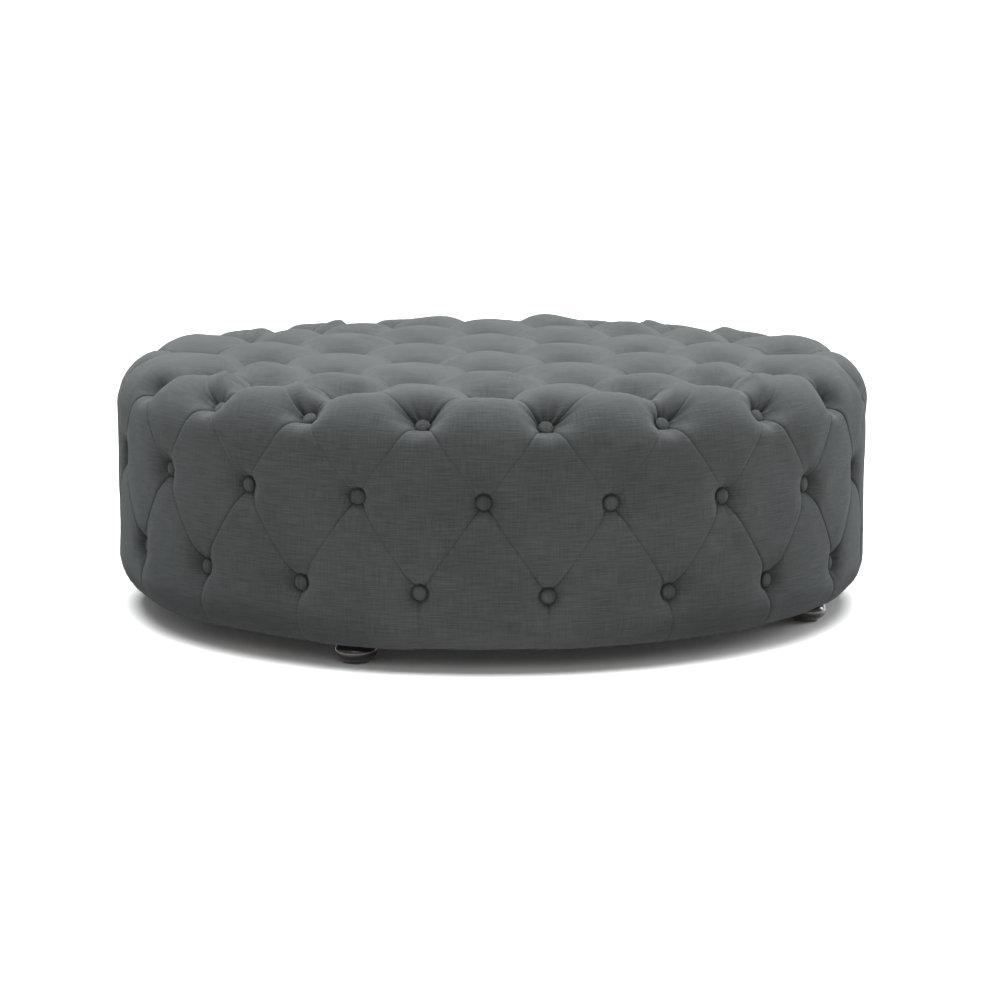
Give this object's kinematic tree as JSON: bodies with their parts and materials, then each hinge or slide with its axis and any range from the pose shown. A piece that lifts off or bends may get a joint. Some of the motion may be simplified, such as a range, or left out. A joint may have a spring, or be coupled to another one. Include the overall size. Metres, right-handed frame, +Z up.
{
  "type": "tufted floor ottoman",
  "caption": "Round low ottoman with a deep button-tufted linen cover over foam and a plywood frame, on turned bun feet.",
  "frame": {"origin": "on the floor, under the centre of the drum", "axes": "+Z up along the drum's axis; -Y to the front, towards the viewer; +X to the viewer's right"},
  "size_m": [1.2, 1.2, 0.406],
  "materials": {
    "linen": "matte woven linen",
    "button_linen": "matte woven linen pulled over a dome",
    "wadding": "soft white polyester fibre",
    "foam": "open-cell upholstery foam",
    "ply": "raw plywood",
    "timber": "raw softwood",
    "dust_cloth": "matte black non-woven cloth",
    "black_lacquer": "glossy black lacquer on turned wood",
    "glide_plastic": "hard matte plastic",
    "zinc": "zinc-plated steel",
    "twine": "waxed tufting twine"
  },
  "bodies": {
    "root": {"cover": "linen", "wadding": "wadding", "top_foam": "foam", "side_foam": "foam", "side_skin": "ply", "top_deck": "ply", "base_ring": "ply", "long_rail": "timber", "short_rails": "timber", "dust_cover": "dust_cloth", "post_1": "timber", "post_2": "timber", "post_3": "timber", "post_4": "timber", "post_5": "timber", "post_6": "timber", "post_7": "timber", "post_8": "timber", "foot_block_1": "timber", "foot_block_2": "timber", "foot_block_3": "timber", "foot_block_4": "timber", "bun_foot_1": "black_lacquer", "bun_foot_2": "black_lacquer", "bun_foot_3": "black_lacquer", "bun_foot_4": "black_lacquer", "foot_glide_1": "glide_plastic", "foot_glide_2": "glide_plastic", "foot_glide_3": "glide_plastic", "foot_glide_4": "glide_plastic", "hanger_bolt_1": "zinc", "hanger_bolt_2": "zinc", "hanger_bolt_3": "zinc", "hanger_bolt_4": "zinc", "tee_nut_1": "zinc", "tee_nut_2": "zinc", "tee_nut_3": "zinc", "tee_nut_4": "zinc", "top_buttons": "button_linen", "rim_buttons": "button_linen", "upper_side_buttons": "button_linen", "lower_side_buttons": "button_linen", "top_button_backs": "zinc", "rim_button_backs": "zinc", "side_button_backs": "zinc", "top_twines": "twine", "rim_twines": "twine", "side_twines": "twine", "deck_toggles": "timber", "side_toggles": "timber", "deck_screws": "zinc", "base_screws": "zinc", "hem_staples": "zinc", "dust_cover_staples": "zinc"}
  },
  "joints": []
}
